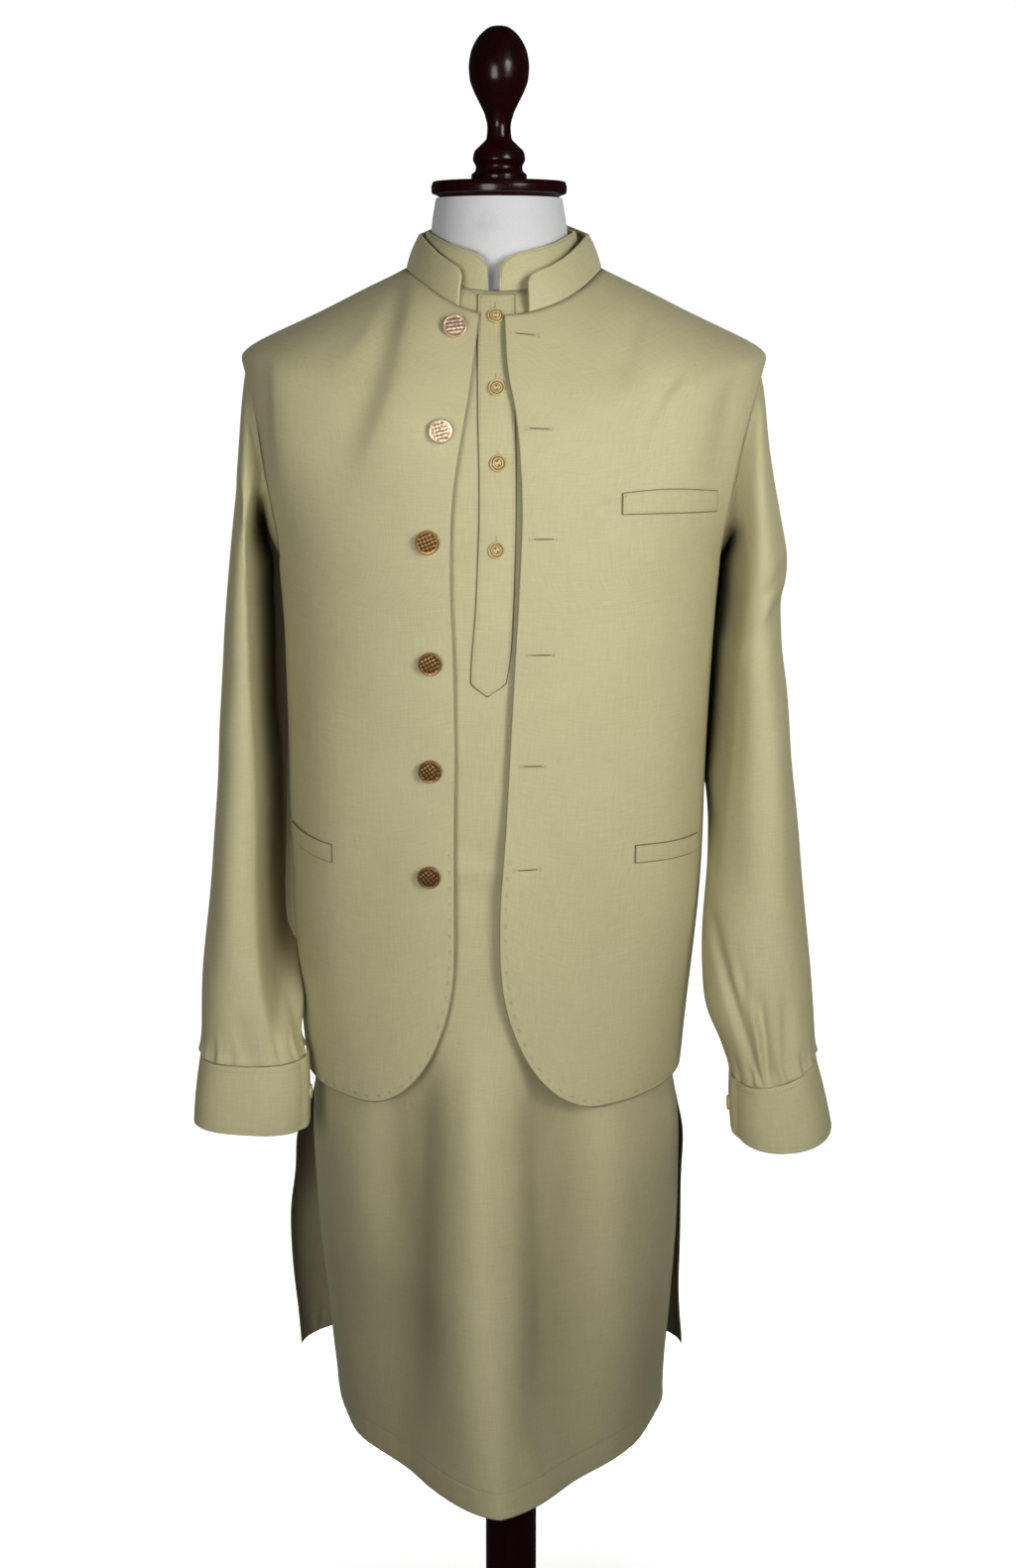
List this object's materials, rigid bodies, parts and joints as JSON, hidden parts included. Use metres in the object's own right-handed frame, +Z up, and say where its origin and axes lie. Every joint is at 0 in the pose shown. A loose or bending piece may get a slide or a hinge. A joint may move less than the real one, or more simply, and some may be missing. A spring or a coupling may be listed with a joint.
{
  "type": "kurta and waistcoat set on a dress form",
  "caption": "Long plain khaki kurta with placket, cuffs and side slits under an open banded-collar waistcoat, worn by a dress form on a turned wooden stand.",
  "frame": {"origin": "centre of the base's underside on the floor, under the pole", "axes": "+Z up the pole to the finial, -Y to the garment's front, +X to the wearer's left"},
  "size_m": [0.575, 0.4206, 1.6746],
  "materials": {
    "khaki": "matte",
    "canvas": "matte",
    "mahogany": "gloss",
    "bronze": "satin",
    "horn": "gloss"
  },
  "bodies": {
    "root": {"base": "mahogany", "cuff_button_left": "horn", "cuff_button_right": "horn", "finial": "mahogany", "form": "canvas", "kurta_back": "khaki", "kurta_button_1": "horn", "kurta_button_2": "horn", "kurta_button_3": "horn", "kurta_button_4": "horn", "kurta_collar": "khaki", "kurta_cuff_left": "khaki", "kurta_cuff_right": "khaki", "kurta_front": "khaki", "kurta_placket": "khaki", "kurta_sleeve_left": "khaki", "kurta_sleeve_left_elbow": "khaki", "kurta_sleeve_left_forearm": "khaki", "kurta_sleeve_right": "khaki", "kurta_sleeve_right_elbow": "khaki", "kurta_sleeve_right_forearm": "khaki", "neck_cap": "mahogany", "pole": "mahogany", "waistcoat_back": "khaki", "waistcoat_button_1": "bronze", "waistcoat_button_2": "bronze", "waistcoat_button_3": "bronze", "waistcoat_button_4": "bronze", "waistcoat_button_5": "bronze", "waistcoat_button_6": "bronze", "waistcoat_chest_welt": "khaki", "waistcoat_collar": "khaki", "waistcoat_front_left": "khaki", "waistcoat_front_right": "khaki", "waistcoat_pocket_welt_left": "khaki", "waistcoat_pocket_welt_right": "khaki"}
  },
  "joints": []
}
